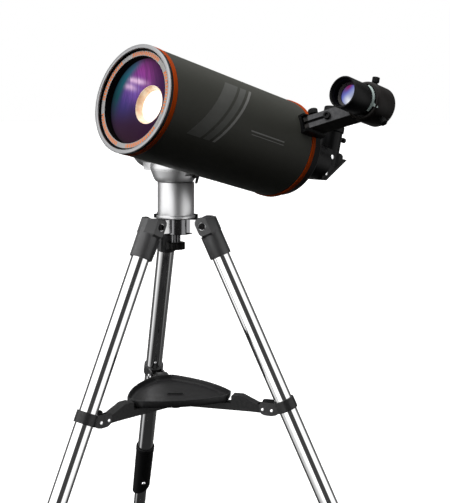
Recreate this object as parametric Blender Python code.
"""Maksutov telescope on a single-arm mount and a three-leg tripod.

All lengths are millimetres; they become metres when a piece is finished.
+Z is up, +Y is the side the open end of the tube faces, +X is the side of the mount arm.
The origin is on the floor under the middle of the object's bounding box.
"""
import math

import bmesh
import bpy
from mathutils import Matrix, Vector

for old in list(bpy.data.objects):
    bpy.data.objects.remove(old, do_unlink=True)

# ================================================================ driving dimensions
AZIMUTH_Y = -46.174     # azimuth axis, measured from the origin
COLUMN_FOOT_Z = 650.0   # foot of the mount column above the floor
ALTITUDE_DEG = 14.18    # elevation of the tube as set
ALTITUDE_Z = 121.5      # altitude axis above the column foot
TUBE_X = -92.54         # tube axis beside the azimuth axis
TUBE_R = 68.76          # optical tube outer radius
TUBE_IN = 66.5          # optical tube inner radius
FRONT_RIM = 164.56      # front rim, along the tube from the altitude axis
LEG_TOP_R = 46.2        # top of the leg axis: radius
LEG_TOP_Z = -12.8       # and height, from the column foot
PIN_IN = 3.0            # hinge pin this far inward of the leg axis
SPLAY = math.radians(24.884)    # leg angle from the vertical
LEG_AZIMUTHS = (90.0, 210.0, 330.0)
UPPER_LEG_R = 12.8      # fixed outer leg tube
LOWER_LEG_R = 10.15     # sliding inner leg tube
FOOT_POINT = 702.3      # leg origin to the foot's pivot point, along the leg
COLUMN_R = 26.0
EYEPIECE_S = -224.0     # eyepiece axis, along the tube
HOLDER_R = 17.6         # eyepiece holder outer radius
FINDER_ANGLE = math.radians(65.0)   # finder position round the tube from the top
FINDER_R = 160.0        # finder axis from the tube axis
LEVER_AZIMUTH = 200.0   # clutch lever's place round the mount head
GAP = 0.4               # clearance between fitted pieces

# kind: (base colour, metallic, roughness)
MATERIALS = {
    "graphite": ((0.055, 0.057, 0.05), 0.35, 0.55),
    "black": ((0.012, 0.012, 0.013), 0.0, 0.5),
    "plastic": ((0.07, 0.07, 0.072), 0.0, 0.55),
    "orange": ((0.5, 0.16, 0.02), 0.6, 0.35),
    "silver": ((0.6, 0.6, 0.61), 0.9, 0.3),
    "chrome": ((0.75, 0.75, 0.76), 1.0, 0.16),
    "glass": ((0.25, 0.2, 0.42), 0.0, 0.08),
    "mirror": ((0.85, 0.85, 0.86), 1.0, 0.03),
    "rubber": ((0.02, 0.02, 0.02), 0.0, 0.85),
    "pale": ((0.62, 0.72, 0.7), 0.0, 0.5),
}

# Clean-up of boolean results
ATTEMPTS = 8            # tries at a closed body, each with the tools shifted further
NUDGE = Vector((0.7, -0.45, 0.3)) * 0.004   # tool shift added per attempt
WELD = 2e-3             # vertices closer than this are merged
SLIVER = 1e-3           # edges shorter than this are dissolved
FLAT_ANGLE = 0.002      # faces within this angle (radians) are joined
SMOOTH_ANGLE = math.radians(32)     # edges sharper than this are shaded sharp


def material(name, kind):
    colour, metallic, roughness = MATERIALS[kind]
    made = bpy.data.materials.new(name + "_" + kind)
    made.use_nodes = True
    inputs = made.node_tree.nodes["Principled BSDF"].inputs
    inputs["Base Color"].default_value = (*colour, 1)
    inputs["Metallic"].default_value = metallic
    inputs["Roughness"].default_value = roughness
    made.diffuse_color = (*colour, 1)
    return made


# ================================================================ frames
def frame(origin, x, z):
    """A right-handed frame with the given x and z directions."""
    x = Vector(x).normalized()
    z = Vector(z).normalized()
    made = Matrix((x, z.cross(x), z)).transposed().to_4x4()
    made.translation = Vector(origin)
    return made


def moved(base, x=0, y=0, z=0):
    return base @ Matrix.Translation((x, y, z))


def turned(base, degrees, axis):
    return base @ Matrix.Rotation(math.radians(degrees), 4, axis)


def world_point(base, x=0, y=0, z=0):
    """World point in metres of a local point in millimetres."""
    return (base @ Vector((x, y, z))) * 0.001


# azimuth axis at the column foot, parallel to the world axes
MOUNT = Matrix.Translation((0, AZIMUTH_Y, COLUMN_FOOT_Z))

# altitude axis: x = +Y, y = up, z = +X
ALTITUDE = MOUNT @ frame((0, 0, ALTITUDE_Z), (0, 1, 0), (1, 0, 0))
ALTITUDE_POINT = world_point(ALTITUDE)

# tube: x = away from the arm, y = up across the tube, z = along the tube to the open end
elevation = math.radians(ALTITUDE_DEG)
TUBE = MOUNT @ frame((TUBE_X, 0, ALTITUDE_Z), (-1, 0, 0),
                     (0, math.cos(elevation), math.sin(elevation)))

# tube seen from the side: x = along the tube, y = up across it, z = toward the arm
TUBE_SIDE = TUBE @ frame((0, 0, 0), (0, 0, 1), (-1, 0, 0))

# finder side of the tube: x = radially out, y = round the tube toward the top, z = along it
FINDER_SIDE = TUBE @ frame((0, 0, 0), (math.sin(FINDER_ANGLE), math.cos(FINDER_ANGLE), 0),
                           (0, 0, 1))
FINDER = moved(FINDER_SIDE, FINDER_R)

# eyepiece: z = up across the tube
EYEPIECE = TUBE @ frame((0, 0, EYEPIECE_S), (1, 0, 0), (0, 1, 0))


def radial_frame(azimuth):
    """x = outward, z = up, origin on the azimuth axis at the column foot."""
    angle = math.radians(azimuth)
    return MOUNT @ frame((0, 0, 0), (math.cos(angle), math.sin(angle), 0), (0, 0, 1))


def upright_frame(azimuth):
    """x = outward, y = up, z = level and tangential, same origin as radial_frame."""
    return turned(radial_frame(azimuth), 90, "X")


def leg_frame(azimuth):
    """x = outward across the leg, y = level, z = down along the leg, origin at its top."""
    angle = math.radians(azimuth)
    radial = Vector((math.cos(angle), math.sin(angle), 0))
    up = Vector((0, 0, 1))
    down = radial * math.sin(SPLAY) - up * math.cos(SPLAY)
    outward = radial * math.cos(SPLAY) + up * math.sin(SPLAY)
    return MOUNT @ frame(radial * LEG_TOP_R + up * LEG_TOP_Z, outward, down)


# ================================================================ solids
def lathe(profile, facets, turn=0.0):
    """Closed profile of (radius, height) turned about local z."""
    bm = bmesh.new()
    rings = []
    for radius, height in profile:
        if radius < 1e-6:
            rings.append([bm.verts.new((0, 0, height))])
            continue
        angles = [turn + 2 * math.pi * i / facets for i in range(facets)]
        rings.append([bm.verts.new((radius * math.cos(a), radius * math.sin(a), height))
                      for a in angles])
    for k, ring in enumerate(rings):
        after = rings[(k + 1) % len(rings)]
        if len(ring) == 1 and len(after) == 1:
            continue
        for i in range(facets):
            j = (i + 1) % facets
            if len(ring) == 1:
                bm.faces.new((ring[0], after[i], after[j]))
            elif len(after) == 1:
                bm.faces.new((ring[i], after[0], ring[j]))
            else:
                bm.faces.new((ring[i], after[i], after[j], ring[j]))
    return bm


def loft(outlines):
    """Skin between outlines of (x, y, z) with equal point counts, closed at both ends."""
    bm = bmesh.new()
    rings = [[bm.verts.new(point) for point in outline] for outline in outlines]
    bm.faces.new(rings[0][::-1])
    bm.faces.new(rings[-1])
    count = len(rings[0])
    for ring, after in zip(rings, rings[1:]):
        for i in range(count):
            j = (i + 1) % count
            bm.faces.new((ring[i], ring[j], after[j], after[i]))
    return bm


def outline_at(points, z, scale=1.0, centre_y=0.0):
    """A flat outline placed at height z, scaled about (0, centre_y)."""
    return [(x * scale, centre_y + (y - centre_y) * scale, z) for x, y in points]


def prism(points, z0, z1):
    return loft([outline_at(points, z0), outline_at(points, z1)])


def box(x0, x1, y0, y1, z0, z1):
    return prism([(x0, y0), (x1, y0), (x1, y1), (x0, y1)], z0, z1)


def rod(radius, z0, z1, facets, turn=0.0):
    return lathe([(0, z0), (radius, z0), (radius, z1), (0, z1)], facets, turn)


def pipe(inner, outer, z0, z1, facets):
    return lathe([(inner, z0), (outer, z0), (outer, z1), (inner, z1)], facets)


def arc(centre_x, centre_y, radius, start, end, steps):
    """Points on an arc, angles in degrees."""
    angles = [math.radians(start + (end - start) * i / steps) for i in range(steps + 1)]
    return [(centre_x + radius * math.cos(a), centre_y + radius * math.sin(a)) for a in angles]


def knurled_knob(radius, z0, z1, teeth, depth, bevel=0.8):
    """Ribbed knob body, drawn in at both ends."""
    outline = []
    for i in range(teeth * 2):
        rib_r = radius if i % 2 == 0 else radius - depth
        angle = math.pi * i / teeth
        outline.append((rib_r * math.cos(angle), rib_r * math.sin(angle)))
    stations = ((z0, 0.9), (z0 + bevel, 1), (z1 - bevel, 1), (z1, 0.9))
    return loft([outline_at(outline, z, scale) for z, scale in stations])


def thumbscrew(shank_r, head_r, tip, under_head, top, facets, bevel=(0.6, 0.8)):
    """Screw along z; bevel is the (radial, axial) cut under the head's rim."""
    return lathe([(0, tip), (shank_r, tip), (shank_r, under_head),
                  (head_r - bevel[0], under_head), (head_r, under_head + bevel[1]),
                  (head_r, top - 0.8), (head_r - 0.8, top), (0, top)], facets)


# ================================================================ assembling a piece
def add(bm, base):
    return "UNION", bm, base


def cut(bm, base):
    return "DIFFERENCE", bm, base


def to_mesh(bm, transform, name):
    bm.transform(transform)
    bmesh.ops.recalc_face_normals(bm, faces=bm.faces)
    mesh = bpy.data.meshes.new(name)
    bm.to_mesh(mesh)
    bm.free()
    return mesh


def is_closed(bm, grain=1e-3):
    """True if the triangles still close up when points are snapped to the grain."""
    if not bm.faces or any(len(edge.link_faces) != 2 for edge in bm.edges):
        return False
    test = bm.copy()
    bmesh.ops.triangulate(test, faces=test.faces)
    uses = {}
    for face in test.faces:
        corners = [tuple(round(c / grain) for c in vert.co) for vert in face.verts]
        if len(set(corners)) < 3:
            continue
        for i in range(3):
            edge = (corners[i], corners[(i + 1) % 3])
            uses[edge] = uses.get(edge, 0) + 1
    test.free()
    return all(n == 1 and uses.get(edge[::-1]) == 1 for edge, n in uses.items())


def tidy(mesh):
    """Apply the most thorough clean-up that leaves a closed surface; False if none does."""
    for level in (3, 2, 1, 0):
        bm = bmesh.new()
        bm.from_mesh(mesh)
        if level > 0:
            bmesh.ops.remove_doubles(bm, verts=bm.verts, dist=WELD)
        if level > 1:
            bmesh.ops.dissolve_degenerate(bm, dist=SLIVER, edges=bm.edges)
        if level > 2:
            bmesh.ops.dissolve_limit(bm, angle_limit=FLAT_ANGLE, verts=bm.verts,
                                     edges=bm.edges)
        bmesh.ops.triangulate(bm, faces=[f for f in bm.faces if len(f.verts) > 4])
        bmesh.ops.recalc_face_normals(bm, faces=bm.faces)
        good = is_closed(bm)
        if good:
            bm.to_mesh(mesh)
        bm.free()
        if good:
            return True
    return False


def new_object(name, mesh):
    made = bpy.data.objects.new(name, mesh)
    bpy.context.scene.collection.objects.link(made)
    return made


def apply_boolean(body, operation, tool_mesh, shift):
    tool = new_object(body.name + "_tool", tool_mesh.copy())
    tool.data.transform(Matrix.Translation(shift))
    modifier = body.modifiers.new("boolean", "BOOLEAN")
    modifier.operation = operation
    modifier.solver = "EXACT"
    modifier.object = tool
    depsgraph = bpy.context.evaluated_depsgraph_get()
    result = bpy.data.meshes.new_from_object(body.evaluated_get(depsgraph))
    body.modifiers.clear()
    body.data = result
    bpy.data.objects.remove(tool, do_unlink=True)


def combine(name, steps):
    """The first step starts the body, later ones join or cut, all in the first one's frame."""
    base = steps[0][2]
    inverse = base.inverted()
    shapes = [(operation, to_mesh(bm, inverse @ own, name)) for operation, bm, own in steps]
    for attempt in range(ATTEMPTS):
        # a hair's shift of the tools clears an unlucky tangency
        nudge = NUDGE * attempt
        body = new_object(name, shapes[0][1].copy())
        for k, (operation, mesh) in enumerate(shapes[1:]):
            apply_boolean(body, operation, mesh, nudge * (1 if k % 2 else -1))
        if tidy(body.data) or attempt == ATTEMPTS - 1:
            break
        bpy.data.objects.remove(body, do_unlink=True)
    body.data.transform(Matrix.Scale(0.001, 4) @ base)
    return body


def part(name, kind, steps, pivot=(0, 0, 0)):
    """A finished named piece; pivot is a world point in metres that becomes the origin."""
    made = combine(name, steps)
    mesh = made.data
    mesh.name = name
    mesh.materials.clear()
    mesh.materials.append(material(name, kind))
    mesh.polygons.foreach_set("use_smooth", [True] * len(mesh.polygons))
    mesh.set_sharp_from_angle(angle=SMOOTH_ANGLE)
    pivot = Vector(pivot)
    mesh.transform(Matrix.Translation(-pivot))
    made.location = pivot
    return made


# ================================================================ tripod centre
# heights are from the column foot
PIN_R = LEG_TOP_R - PIN_IN * math.cos(SPLAY)    # hinge pin: radius from the azimuth axis
PIN_Z = LEG_TOP_Z - PIN_IN * math.sin(SPLAY)    # and height
PIN_BORE_R = 3.9
BRACE_R = 133           # brace pivot at the leg: radius from the azimuth axis
BRACE_Z = -272          # height of the brace pivots
STUB_R = 15.2           # azimuth bearing stub

# hub: a ring with a rounded lug for each leg, bored for the hinge pin
LUG_OUTLINE = ([(20, -24), (PIN_R - 5, -24)] + arc(PIN_R, PIN_Z, 8.2, -65, 80, 8)
               + [(PIN_R - 5, -5.2), (20, -5.2)])
hub = [add(pipe(7.5, 24.7, -27, -5, 40), MOUNT)]
for azimuth in LEG_AZIMUTHS:
    hub.append(add(prism(LUG_OUTLINE, -14.2, 14.2), upright_frame(azimuth)))
for azimuth in LEG_AZIMUTHS:
    hub.append(cut(rod(PIN_BORE_R, -20, 20, 16), moved(upright_frame(azimuth), PIN_R, PIN_Z)))
part("tripod_hub", "silver", hub)

# centre bolt that clamps the mount down on the hub
part("centre_bolt_knob", "black", [
    add(knurled_knob(13.5, -50, -39.5, 12, 1.3), MOUNT),
    add(rod(7.0, -40.5, 11, 20), MOUNT),
], world_point(MOUNT))

# mount column: foot flange with two tabs, bolt bore from below, bearing bore from above
COLUMN_PROFILE = [      # (radius, height)
    (0, 14), (7.5, 14), (7.5, -4.5), (28.2, -4.5), (28.2, -0.9), (27.6, -0.2),
    (COLUMN_R, -0.2), (COLUMN_R, 46.2), (STUB_R + GAP, 46.2), (STUB_R + GAP, 20), (0, 20)]
part("mount_column", "silver", [add(lathe(COLUMN_PROFILE, 40), MOUNT)] + [
    add(box(25, 31.4, -3.6, 3.6, -4.3, 0.4), radial_frame(azimuth))
    for azimuth in (47.5, 227.5)])

# brace hub: a boss with a tongue and a cross pin toward each leg
BOSS_PROFILE = [(0, -282), (8.4, -282), (9, -281), (9, -266.2), (0, -266.2)]
part("brace_hub", "black", [add(lathe(BOSS_PROFILE, 20), MOUNT)] + [
    add(box(5, 19, -2.4, 2.4, -276.5, -267.5), radial_frame(azimuth))
    for azimuth in LEG_AZIMUTHS] + [
    add(rod(2.2, -5.4, 5.4, 12), turned(moved(radial_frame(azimuth), 15, 0, BRACE_Z), 90, "X"))
    for azimuth in LEG_AZIMUTHS])

# accessory tray
TRAY_CORNER_R = 80.0    # cut corners, from the azimuth axis
TRAY_CORNER_HALF = 13.5     # half the width of a cut corner
TRAY_SIDE_R = 62.0      # middle of a bulging side, from the azimuth axis
TRAY_SIDE_STEPS = 8


def tray_outline(inset):
    """Bulging three-sided outline with cut corners toward the legs."""
    def corner_point(side, degrees):
        x = TRAY_CORNER_R - inset
        y = side * (TRAY_CORNER_HALF - inset * 0.5)
        angle = math.radians(degrees)
        return (x * math.cos(angle) - y * math.sin(angle),
                x * math.sin(angle) + y * math.cos(angle))

    points = []
    for azimuth in (90, 210, 330):
        points += [corner_point(-1, azimuth), corner_point(1, azimuth)]
        # quadratic curve to the next corner, through the middle of the side
        middle_angle = math.radians(azimuth + 60)
        middle = Vector((math.cos(middle_angle), math.sin(middle_angle))) * (TRAY_SIDE_R - inset)
        start = Vector(corner_point(1, azimuth))
        end = Vector(corner_point(-1, azimuth + 120))
        control = middle * 2 - (start + end) / 2
        for i in range(1, TRAY_SIDE_STEPS):
            t = i / TRAY_SIDE_STEPS
            point = start * (1 - t) ** 2 + control * 2 * t * (1 - t) + end * t * t
            points.append((point.x, point.y))
    return points


# (inset, height) of the outer skin and of the hollow
TRAY_OUTSIDE = ((3, -265.8), (0.6, -264.2), (0, -255))
TRAY_INSIDE = ((4.4, -263.2), (2.2, -262), (2.0, -254))
part("accessory_tray", "black", [
    add(loft([outline_at(tray_outline(inset), z) for inset, z in TRAY_OUTSIDE]), MOUNT),
    cut(loft([outline_at(tray_outline(inset), z) for inset, z in TRAY_INSIDE]), MOUNT),
], world_point(MOUNT, 0, 0, BRACE_Z))

# ================================================================ front leg
# along the leg, distances run down from the leg frame's origin
CLAMP_SCREW_U = 519     # clamp screw along the leg
LEG = leg_frame(LEG_AZIMUTHS[0])
LEG_POINT = world_point(LEG)
PIN_POINT = world_point(LEG, -PIN_IN, 0, 0)
HINGE = turned(moved(LEG, -PIN_IN), 90, "X")    # z along the pin
CLAMP_SCREW = turned(moved(LEG, 0, 0, CLAMP_SCREW_U), 90, "Y")      # z = outward
CLAMP_SCREW_POINT = world_point(LEG, 0, 0, CLAMP_SCREW_U)
LEG_UPRIGHT = upright_frame(LEG_AZIMUTHS[0])
BRACE_PIVOT = moved(LEG_UPRIGHT, BRACE_R, BRACE_Z)
BRACE_POINT = world_point(radial_frame(LEG_AZIMUTHS[0]), BRACE_R, 0, BRACE_Z)

# bracket section across the leg, chamfered toward the outside
CHEEK_OUTLINE = [(-11.5, -17.7), (6.6, -17.7), (15.0, -6.5), (15.4, 0), (15.0, 6.5),
                 (6.6, 17.7), (-11.5, 17.7)]
# (distance along the leg, scale, innermost x)
CHEEK_STATIONS = (
    (-12.8, 0.86, -6.0), (-11.4, 0.96, -8.6), (-9.0, 1.0, -10.4), (-6.0, 1.0, -11.5),
    (9.0, 1.0, -11.5), (12.8, 1.0, -9.0), (16.5, 0.84, -8.0))
HUB_SLOT = [(-40, -14.9), (4.6, -14.9), (10.6, -8.2), (10.6, 8.2), (4.6, 14.9), (-40, 14.9)]
BRACKET_TOP_SLOPE = ((-2, -13.6), (20, -3.4), (20, -30), (-2, -30))     # (x, z) cut away


def cheek_section(z, scale, inner_x):
    """Scale the section except for its inner edge, which is held at inner_x."""
    return [(x * scale if x > 0 else max(x, inner_x), y * scale, z) for x, y in CHEEK_OUTLINE]


# bracket: hinge cheeks and sleeve, slotted for the hub lug
leg_parts = [part("leg_bracket_front", "plastic", [
    add(loft([cheek_section(*station) for station in CHEEK_STATIONS]), LEG),
    add(rod(15.6, 8, 48.5, 20), LEG),
    cut(rod(13.3, 14.5, 60, 20), LEG),
    cut(prism(HUB_SLOT, -40, 13.6), LEG),
    cut(loft([[(x, y, z) for x, z in BRACKET_TOP_SLOPE] for y in (-30, 30)]), LEG),
    cut(rod(PIN_BORE_R, -30, 30, 16), HINGE),
], PIN_POINT)]

# hinge bolt with a head at each end
BOLT_HALF = [(3.4, 18.1), (4.8, 18.1), (4.8, 19.1), (4.2, 19.7), (0, 19.7)]
BOLT_PROFILE = [(radius, -z) for radius, z in reversed(BOLT_HALF)] + BOLT_HALF
leg_parts.append(part("hinge_bolt_front", "chrome", [
    add(lathe(BOLT_PROFILE, 16), HINGE)], PIN_POINT))

leg_parts.append(part("upper_leg_tube_front", "chrome", [
    add(pipe(11.4, UPPER_LEG_R, 14.9, 505, 20), LEG)], LEG_POINT))

# clamp collar over the end of the upper tube, closing down on the inner tube
CLAMP_PROFILE = [
    (13.2, 445.5), (15.2, 445.5), (15.4, 446.5), (15.4, 455), (14.9, 456), (14.4, 552),
    (10.6, 552), (10.6, 506), (13.2, 506)]
leg_parts.append(part("leg_clamp_front", "black", [
    add(lathe(CLAMP_PROFILE, 20), LEG),
    cut(rod(2.4, -30, -5, 12), CLAMP_SCREW),
], CLAMP_SCREW_POINT))

# clamp screw, on the inward side of the leg
CLAMP_SCREW_PROFILE = [
    (0, -17.6), (2.6, -17.6), (3.4, -16.8), (3.4, -15.3), (2.0, -15.3), (2.0, -11.0),
    (0, -11.0)]
leg_parts.append(part("clamp_screw_front", "chrome", [
    add(lathe(CLAMP_SCREW_PROFILE, 14), CLAMP_SCREW)], CLAMP_SCREW_POINT))

leg_parts.append(part("lower_leg_tube_front", "chrome", [
    add(pipe(8.8, LOWER_LEG_R, 235, 690, 24), LEG)], LEG_POINT))

# foot: a cap on the lower tube, trimmed flat at the floor
FOOT_PROFILE = [
    (0, 725), (12.6, 725), (12.6, 682), (11.6, 668), (10.6, 668), (10.6, 690.4), (0, 690.4)]
leg_parts.append(part("foot_front", "rubber", [
    add(lathe(FOOT_PROFILE, 24), LEG),
    cut(box(-200, 200, 100, 500, -60, 0), Matrix.Identity(4)),
], world_point(LEG, 0, 0, FOOT_POINT)))

# brace band: a ring round the leg with two ears joined by two cross pins
EAR_OUTLINE = [         # (radius, height)
    (128.2, -276), (131, -278.6), (138, -280.6), (148, -280.6), (158, -275), (158, -262.6),
    (131, -262.2), (127.6, -266)]
leg_parts.append(part("brace_band_front", "black", [
    add(prism(EAR_OUTLINE, -11.2, 11.2), LEG_UPRIGHT),
    cut(prism([(100, -300), (152, -300), (152, -240), (100, -240)], -8.8, 8.8), LEG_UPRIGHT),
    add(rod(2.5, -12.6, 12.6, 14), BRACE_PIVOT),
    add(rod(2.5, -12.6, 12.6, 14), moved(LEG_UPRIGHT, 146.2, -272.6)),
    add(rod(15.2, 269.8, 286.2, 20), LEG),
    cut(rod(13.2, 250, 300, 20), LEG),
], BRACE_POINT))

# brace arm: a channel, open below, with a raised step under the tray's edge
ARM_OUTSIDE = ([(22, -277.6), (114, -277.6), (128, -278), (BRACE_R, -278)]
               + arc(BRACE_R, BRACE_Z, 5.9, -85, 80, 5)
               + [(131, -266.3), (124, -266.3), (100.5, -255.8), (87, -255.8),
                  (85.5, -257.2), (85.5, -267.2), (22, -267.2)])
ARM_INSIDE = [
    (10, -300), (10, -240), (33, -240), (33, -269.2), (86.5, -269.2), (88.5, -258.0),
    (99.8, -258.0), (118, -266.4), (118.2, -267.8), (124, -267.8), (124, -240),
    (150, -240), (150, -300)]
leg_parts.append(part("brace_arm_front", "black", [
    add(prism(ARM_OUTSIDE, -8.2, 8.2), LEG_UPRIGHT),
    cut(prism(ARM_INSIDE, -6.2, 6.2), LEG_UPRIGHT),
    cut(rod(2.9, -20, 20, 14), BRACE_PIVOT),
], BRACE_POINT))

# ================================================================ other two legs
# the same pieces turned round the azimuth axis
for k, side in ((1, "left"), (2, "right")):
    turn = turned(MOUNT, 120 * k, "Z") @ MOUNT.inverted()
    turn.translation = turn.translation * 0.001
    for source in leg_parts:
        name = source.name.replace("_front", "_" + side)
        kind = source.data.materials[0].name.rsplit("_", 1)[1]
        twin = new_object(name, source.data.copy())
        pivot = turn @ source.location
        twin.data.name = name
        twin.data.transform(Matrix.Translation(-pivot) @ turn
                            @ Matrix.Translation(source.location))
        twin.location = pivot
        twin.data.materials.clear()
        twin.data.materials.append(material(name, kind))

# ================================================================ mount head
JOURNAL_R = 12.1        # saddle journal in the arm
BOWL_X = 3              # bowl centre, toward the arm from the azimuth axis
LEVER = turned(moved(radial_frame(LEVER_AZIMUTH), 0, 0, 55), 90, "Y")   # z = outward, x = down

STUB_PROFILE = [(0, 24), (14, 24), (STUB_R, 25.2), (STUB_R, 50), (0, 50)]
BOWL_PROFILE = [        # (radius, height)
    (0, 46.8), (26.2, 46.8), (28.4, 49.8), (30.1, 53), (31.6, 57), (33.1, 61), (34.2, 64),
    (34.5, 66.5), (34.4, 69.6), (33.4, 73.4), (30.2, 76.2), (23, 77.4), (0, 77.6)]
# arm seen along the altitude axis, and its (distance along that axis, scale)
ARM_OUTLINE = arc(0, 0, 40, 0, 180, 16) + [
    (-40, -22), (-36, -40), (-26, -52), (-12, -57.5), (12, -57.5), (26, -52), (36, -40),
    (40, -22)]
ARM_STATIONS = ((8, 0.95), (10.5, 1.0), (50, 1.0), (58, 0.93), (62, 0.8))
# block between bowl and arm: (x0, x1, half width in y, z) at its bottom and top
NECK_STATIONS = ((-20, 40, 25, 62), (-14, 40, 28, 77))
part("mount_head_and_arm", "silver", [
    add(lathe(BOWL_PROFILE, 36), moved(MOUNT, BOWL_X)),
    add(lathe(STUB_PROFILE, 28), MOUNT),
    add(loft([outline_at(ARM_OUTLINE, z, scale, -8.0) for z, scale in ARM_STATIONS]), ALTITUDE),
    add(loft([[(x0, -half, z), (x1, -half, z), (x1, half, z), (x0, half, z)]
              for x0, x1, half, z in NECK_STATIONS]), MOUNT),
    cut(box(-60, -25, -60, 8, 56, 120), MOUNT),
    cut(rod(JOURNAL_R + GAP, 0, 46, 24), ALTITUDE),
    cut(rod(2.9, 23, 60, 12), LEVER),
], world_point(MOUNT, 0, 0, 47))

# clutch lever hanging beside the bowl; (root height, tip height) of its two faces
LEVER_FACES = ((33.4, 30.6), (36.2, 33.0))
part("azimuth_lock_lever", "black", [
    add(rod(2.5, 25, 36, 12), LEVER),
    add(loft([[(-2, -2.6, root), (-2, 2.6, root), (10, 1.6, tip), (10, -1.6, tip)]
              for root, tip in LEVER_FACES]), LEVER),
], world_point(LEVER, 0, 0, 34))

# saddle: turns on the altitude axis and holds the dovetail between two jaws
# in the tube frame the azimuth axis is at x = TUBE_X
SADDLE_PROFILE = [
    (0, -8.4), (35, -8.4), (36.5, -7.2), (36.5, 5.2), (35.6, 6.2), (0, 6.2)]
JAW_OUTER_X = TUBE_X + 8.0
JAW_INNER_X = TUBE_X + 19.5
JAW_OUTLINE = [(JAW_OUTER_X, 23.4), (JAW_OUTER_X, 33), (JAW_INNER_X, 33), (JAW_INNER_X, 20.2)]
SADDLE_SCREW = turned(moved(TUBE, TUBE_X + 13.6), -90, "X")     # z = up across the tube
part("altitude_saddle", "silver", [
    add(lathe(SADDLE_PROFILE, 40), ALTITUDE),
    add(rod(JOURNAL_R, -1, 44, 24), ALTITUDE)] + [
    add(prism([(x, y * side) for x, y in JAW_OUTLINE], -26, 26), TUBE) for side in (1, -1)] + [
    cut(rod(3.4, 10, 40, 14), SADDLE_SCREW),
], ALTITUDE_POINT)
part("saddle_knob", "black", [
    add(knurled_knob(10.5, 37.4, 54, 10, 1.2), SADDLE_SCREW),
    add(rod(3.0, 26.5, 38.5, 14), SADDLE_SCREW),
], world_point(SADDLE_SCREW))

# ================================================================ optical tube
# lathe profiles from here on are (radius, distance along the tube)
# one half of the dovetail section: (x from the azimuth axis, y), outer face first
DOVETAIL_HALF = [(9.0, 22.6), (19.9, 19.4), (19.9, 21.8), (27, 21.8)]
DOVETAIL_OUTLINE = ([(TUBE_X + x, y) for x, y in DOVETAIL_HALF]
                    + [(TUBE_X + x, -y) for x, y in reversed(DOVETAIL_HALF)])
# rear corner cut back so the bar swings clear of the mount head: (along the tube, across)
NOSE_CUT = [(-44, 0.7), (-12, 29.9), (-44, 29.9)]
part("dovetail_bar", "black", [
    add(prism(DOVETAIL_OUTLINE, -36, 84), TUBE),
    cut(rod(TUBE_R + GAP, -200, 200, 40), TUBE)] + [
    cut(prism([(x, y * side) for x, y in NOSE_CUT], 60, 90), TUBE_SIDE) for side in (1, -1)],
    ALTITUDE_POINT)

part("optical_tube", "graphite", [
    add(pipe(TUBE_IN, TUBE_R, -106.2, 151.2, 40), TUBE)], ALTITUDE_POINT)

FRONT_CELL_PROFILE = [
    (64.3, FRONT_RIM - 0.6), (64.9, FRONT_RIM), (68.4, FRONT_RIM), (69.05, FRONT_RIM - 0.8),
    (69.05, 158.6), (66.1, 158.6), (66.1, 126), (64, 124), (56.6, 124), (56.6, 136.6),
    (62.0, 136.6), (62.0, 159.2), (64.3, 159.2)]
part("front_cell", "silver", [add(lathe(FRONT_CELL_PROFILE, 40), TUBE)], ALTITUDE_POINT)

part("front_accent_ring", "orange", [
    add(pipe(TUBE_IN, 69.2, 151.5, 158.2, 40), TUBE)], ALTITUDE_POINT)

# lens retaining ring with two small holes in its front face
RETAINER_PROFILE = [(55.0, 150.2), (61.6, 150.2), (61.6, 160.2), (55.6, 160.2), (55.0, 159.6)]
part("lens_retaining_ring", "silver", [add(lathe(RETAINER_PROFILE, 40), TUBE)] + [
    cut(rod(1.0, 157.5, 170, 10), moved(turned(TUBE, degrees, "Z"), 60.1))
    for degrees in (21, 200.5)], ALTITUDE_POINT)

# meniscus lens with a round well in the middle of its front face
LENS_CURVE_R = 100.0    # radius of both spherical faces
LENS_RIM_S = 149.9      # front of the lens rim, along the tube
LENS_R = 61.4
LENS_THICK = 12.4
WELL_FLOOR_S = 126.7


def lens_sag(radius):
    return LENS_CURVE_R - math.sqrt(LENS_CURVE_R * LENS_CURVE_R - radius * radius)


rim_sag = lens_sag(57.0)
lens_front = [(r, LENS_RIM_S - rim_sag + lens_sag(r)) for r in (57, 50, 42, 34, 24.2)]
lens_back = [(r, LENS_RIM_S - LENS_THICK - rim_sag + lens_sag(r))
             for r in (0, 9, 18, 26, 34, 42, 50, 56)]
part("corrector_lens", "glass", [
    add(lathe(lens_back + [(LENS_R, 137.0), (LENS_R, LENS_RIM_S)] + lens_front
              + [(20.4, WELL_FLOOR_S), (0, WELL_FLOOR_S)], 40), TUBE)], ALTITUDE_POINT)

part("rear_accent_ring", "orange", [
    add(pipe(TUBE_IN, 70.0, -113.4, -106.5, 40), TUBE)], ALTITUDE_POINT)

# rear cell with the stub for the visual back, sleeve into the tube, and the baffle tube
FOCUS = moved(TUBE, -43, -5)    # focus knob axis
REAR_CELL_PROFILE = [
    (13.6, -142), (21.6, -142), (21.8, -135.2), (60, -135.2), (63.2, -132.6), (64, -130),
    (64, -116), (66, -113.5), (66.1, -96), (62.4, -96), (62.4, -120.8), (17, -120.8),
    (16.4, -116), (15.2, 42), (13.6, 42)]
part("rear_cell_and_baffle", "black", [
    add(lathe(REAR_CELL_PROFILE, 40), TUBE),
    cut(rod(4.4, -150, -124, 14), FOCUS),
], ALTITUDE_POINT)

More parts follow.
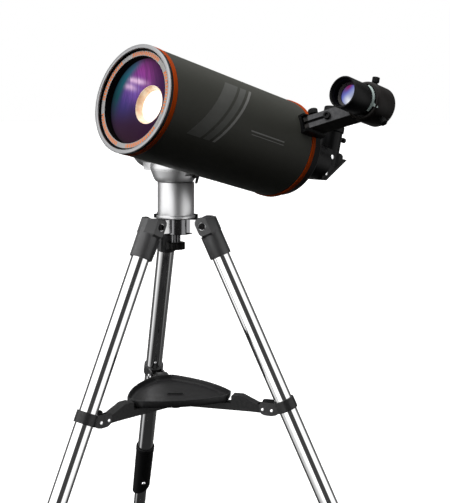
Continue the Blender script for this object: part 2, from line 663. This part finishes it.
# primary mirror: a pierced disc with a dished front
MIRROR_R = 61.9
MIRROR_BORE_R = 17.3
MIRROR_BACK_S = -113
MIRROR_RIM_S = -98.6
MIRROR_DISH = 4.6       # depth of the dish at the axis
dish = [(r, MIRROR_RIM_S - MIRROR_DISH * (1 - (r / MIRROR_R) ** 2))
        for r in (61, 50, 38, 27, MIRROR_BORE_R)]
part("primary_mirror", "mirror", [
    add(lathe([(MIRROR_BORE_R, MIRROR_BACK_S), (MIRROR_R, MIRROR_BACK_S),
               (MIRROR_R, MIRROR_RIM_S)] + dish, 40), TUBE)],
    world_point(TUBE, 0, 0, MIRROR_BACK_S))

part("focus_knob", "black", [
    add(knurled_knob(10.8, -158, -136.2, 16, 0.8), FOCUS),
    add(rod(4.0, -137, -126, 14), FOCUS),
], world_point(FOCUS, 0, 0, -136))

VISUAL_BACK_PROFILE = [
    (22.3, -136), (28.4, -136), (29.2, -137), (29.2, -151), (27.5, -158), (16.3, -158),
    (16.3, -142.6), (22.3, -142.6)]
part("visual_back", "black", [
    add(lathe(VISUAL_BACK_PROFILE, 40), TUBE)], world_point(TUBE, 0, 0, -136))

# ================================================================ star diagonal
SLOPE_S = -230.8        # where the housing's 45-degree face meets the tube axis
PLATE_FRONT_S = SLOPE_S - 0.5   # the same for the plate's front face
PLATE_BACK_S = -238.2   # and its back face
DIAGONAL_POINT = world_point(TUBE, 0, 0, -158)
# thumbscrew in the eyepiece holder, pointing away from the tube
HOLDER_SCREW = TUBE @ frame((0, 44.6, EYEPIECE_S), (1, 0, 0), (0, 0, -1))

NOSE_PROFILE = [
    (0, -206), (25.6, -206), (27.6, -162), (26.6, -158.4), (15.8, -158.4), (15.8, -147),
    (0, -147)]
HOUSING_OUTLINE = [     # (along the tube, up across it)
    (-203, -25.2), (SLOPE_S + 25.0, -25.0), (SLOPE_S - 12.6, 12.6), (-242, 18.2),
    (-238, 20.2), (-203, 22)]
HOLDER_PROFILE = [      # (radius, height above the tube axis)
    (0, 0), (HOLDER_R, 0), (HOLDER_R, 50), (HOLDER_R + 1.5, 51), (HOLDER_R + 1.5, 58.5),
    (HOLDER_R + 0.8, 59.5), (0, 59.5)]
HOLDER_BORE = [(0, 3), (10.6, 3), (10.6, 24), (16.2, 24), (16.2, 90), (0, 90)]
BEHIND_SLOPE = [(SLOPE_S - 60, 60), (SLOPE_S + 60, -60), (SLOPE_S - 60, -60)]
# the bores are turned slightly so their facets don't line up with the outer ones
part("star_diagonal", "black", [
    add(lathe(NOSE_PROFILE, 28), TUBE),
    add(prism(HOUSING_OUTLINE, -16.4, 16.4), TUBE_SIDE),
    add(lathe(HOLDER_PROFILE, 28), EYEPIECE),
    cut(rod(12.4, -240, -120, 20, turn=0.07), TUBE),
    cut(lathe(HOLDER_BORE, 28, turn=0.031), EYEPIECE),
    cut(prism(BEHIND_SLOPE, -30, 30), TUBE_SIDE),
    cut(rod(2.4, 10, 40, 12), HOLDER_SCREW),
], DIAGONAL_POINT)

PLATE_OUTLINE = [
    (PLATE_BACK_S + 25.2, -25.2), (PLATE_FRONT_S + 25.4, -25.4),
    (PLATE_FRONT_S - 14.2, 14.2), (PLATE_BACK_S - 14.0, 14.0)]
part("diagonal_mirror_plate", "black", [
    add(prism(PLATE_OUTLINE, -17.4, 17.4), TUBE_SIDE)], DIAGONAL_POINT)

part("diagonal_thumbscrew", "black", [
    add(thumbscrew(2.0, 5.0, tip=16.6, under_head=27, top=35.2, facets=16), HOLDER_SCREW),
], world_point(HOLDER_SCREW, 0, 0, 20))

EYEPIECE_PROFILE = [
    (0, 30), (12, 30), (12, 26), (15.8, 26), (15.8, 60.2), (18.2, 60.2), (18.6, 61),
    (18.6, 74), (16.2, 78), (16.0, 86), (15.2, 87.2), (11, 87.2), (9, 83), (0, 83)]
part("eyepiece", "black", [
    add(lathe(EYEPIECE_PROFILE, 24), EYEPIECE)], world_point(EYEPIECE, 0, 0, 60))

# ================================================================ finder
# shoe: a channel open outward, hollowed to sit on the tube and over the rear accent ring
SHOE_SCREW = turned(moved(FINDER_SIDE, 76.4, 0, -106), -90, "X")    # z = toward the tube's top
SHOE_OUTLINE = [        # (radius from the tube axis, round the tube)
    (60, -13.2), (77.6, -13.2), (80.4, -11.2), (80.4, -9.4), (72.6, -9.9), (72.6, 9.9),
    (80.4, 9.4), (80.4, 11.2), (77.6, 13.2), (60, 13.2)]
part("finder_shoe", "black", [
    add(prism(SHOE_OUTLINE, -122, -81.5), FINDER_SIDE),
    cut(rod(TUBE_R + GAP, -140, -20, 40), TUBE),
    cut(pipe(68.0, 70.6, -130, -106.0, 40), TUBE),
    cut(rod(2.5, 5, 30, 12), SHOE_SCREW),
], ALTITUDE_POINT)
part("finder_shoe_screw", "black", [
    add(thumbscrew(2.1, 6.8, tip=9.9, under_head=17.5, top=25.2, facets=18), SHOE_SCREW),
], world_point(SHOE_SCREW, 0, 0, 18))

# bracket stalk: (radius from the tube axis, half width, front, rear along the tube)
STALK_STATIONS = ((73.2, 9, -85, -118), (79, 9, -86.5, -119), (137, 9.6, -106, -138.6))
slope_foot = Vector((79, 0, -86.5))     # ends of the sloping front face
slope_top = Vector((137, 0, -106))
slope = slope_top - slope_foot
# x = up the slope, y = across, z = out of the front face
STALK_FACE = FINDER_SIDE @ frame(slope_foot, slope, (-slope.z, 0, slope.x))
STALK_KNOB = moved(STALK_FACE, 28)


def finder_screw_frame(degrees_from_top):
    """z points out of the bracket ring, that far round from the top, away from the arm."""
    angle = FINDER_ANGLE - math.radians(degrees_from_top)
    return moved(FINDER, 0, 0, -122) @ frame((0, 0, 0), (0, 0, 1),
                                             (math.cos(angle), math.sin(angle), 0))


FINDER_SCREWS = {"upper": finder_screw_frame(0), "lower": finder_screw_frame(134)}
part("finder_bracket", "black", [
    add(loft([[(x, -half, front), (x, half, front), (x, half, rear), (x, -half, rear)]
              for x, half, front, rear in STALK_STATIONS]), FINDER_SIDE),
    add(rod(27, -139, -106, 28), FINDER),
    cut(rod(22.2, -150, -100, 28), FINDER),
    cut(box(1.5, 24, -1.9, 1.9, -5, 5), STALK_FACE),
    cut(rod(2.6, -9, 5, 12), STALK_KNOB)] + [
    cut(rod(2.3, 15, 40, 12), screw) for screw in FINDER_SCREWS.values()], ALTITUDE_POINT)

part("bracket_knob", "black", [
    add(knurled_knob(5.2, 0.6, 5.6, 12, 0.5, bevel=0.5), STALK_KNOB),
    add(rod(2.2, -7, 1.5, 12), STALK_KNOB),
], world_point(STALK_KNOB))

for place, screw in FINDER_SCREWS.items():
    part("finder_screw_" + place, "black", [
        add(thumbscrew(1.9, 5.0, tip=18.3, under_head=29.5, top=36.8, facets=16,
                       bevel=(0.4, 0.7)), screw)], world_point(screw, 0, 0, 30))

FINDER_POINT = world_point(FINDER, 0, 0, -100)
SCOPE_PROFILE = [
    (0, -78), (17.4, -78), (17.4, -60.5), (19.2, -57), (20.6, -57), (21.2, -58),
    (21.2, -99), (20.2, -101.2), (17.6, -101.2), (17.6, -141), (13.6, -143), (12.6, -152),
    (9, -152), (8, -149), (0, -149)]
part("finder_scope", "black", [add(lathe(SCOPE_PROFILE, 28), FINDER)], FINDER_POINT)

OBJECTIVE_PROFILE = [(0, -77.6), (17.0, -77.6), (17.0, -75), (12, -73.6), (6, -72.8), (0, -72.5)]
part("finder_objective_lens", "glass", [
    add(lathe(OBJECTIVE_PROFILE, 20), FINDER)], FINDER_POINT)

O_RING_PROFILE = [
    (18.0, -103.6), (18.8, -105.3), (20.8, -105.6), (22.4, -104.6), (22.4, -102.6),
    (20.8, -101.6), (18.8, -101.9)]
part("finder_o_ring", "pale", [add(lathe(O_RING_PROFILE, 28), FINDER)], FINDER_POINT)
